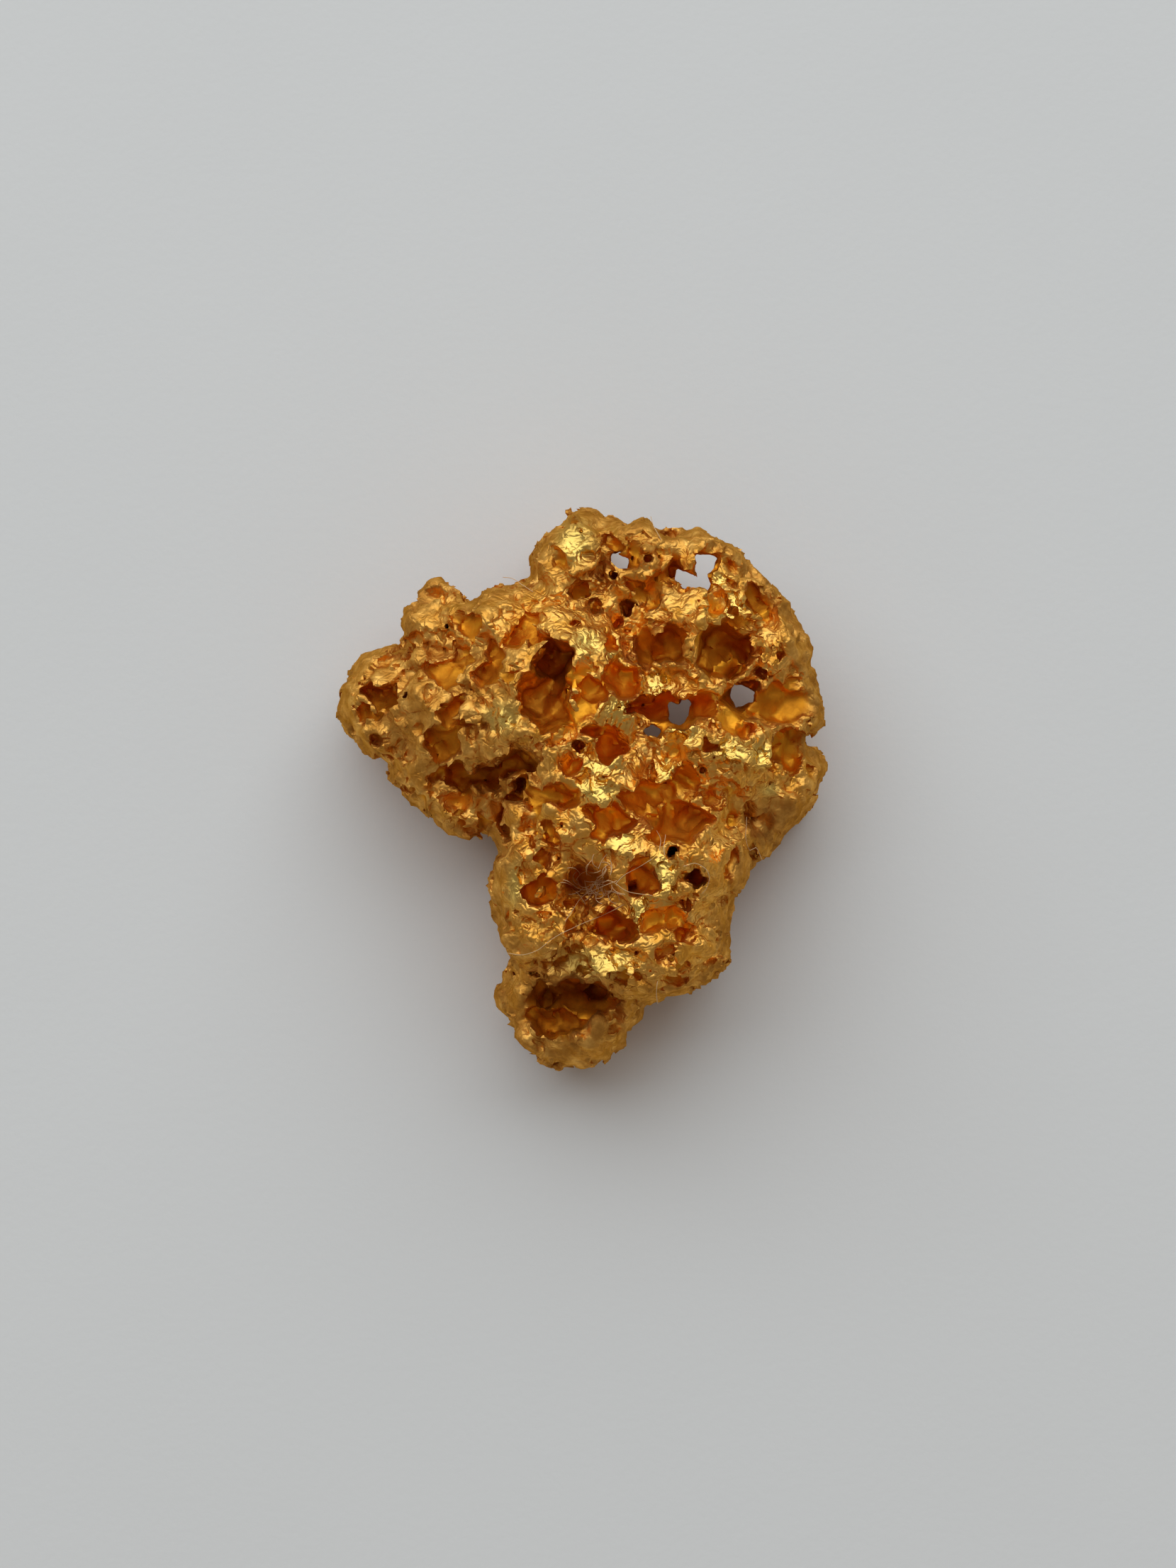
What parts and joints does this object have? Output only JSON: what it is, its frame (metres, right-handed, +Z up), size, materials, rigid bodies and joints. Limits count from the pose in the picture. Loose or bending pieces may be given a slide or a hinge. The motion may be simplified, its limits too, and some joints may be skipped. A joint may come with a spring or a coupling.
{
  "type": "gold nugget",
  "caption": "Rough lobed lump of native gold with angular crystal hollows and small openings, resting on four small flats under its lobes.",
  "frame": {"origin": "below the middle of the plan, on the surface that the nugget rests on", "axes": "+Z up, away from the rest surface; +Y along the longest extent, towards the lobe above the arch; +X to the right seen from above"},
  "size_m": [0.0238, 0.0277, 0.0129],
  "materials": {
    "gold": "satin to bright native gold, hackly"
  },
  "bodies": {
    "root": {"nugget": "gold"}
  },
  "joints": []
}
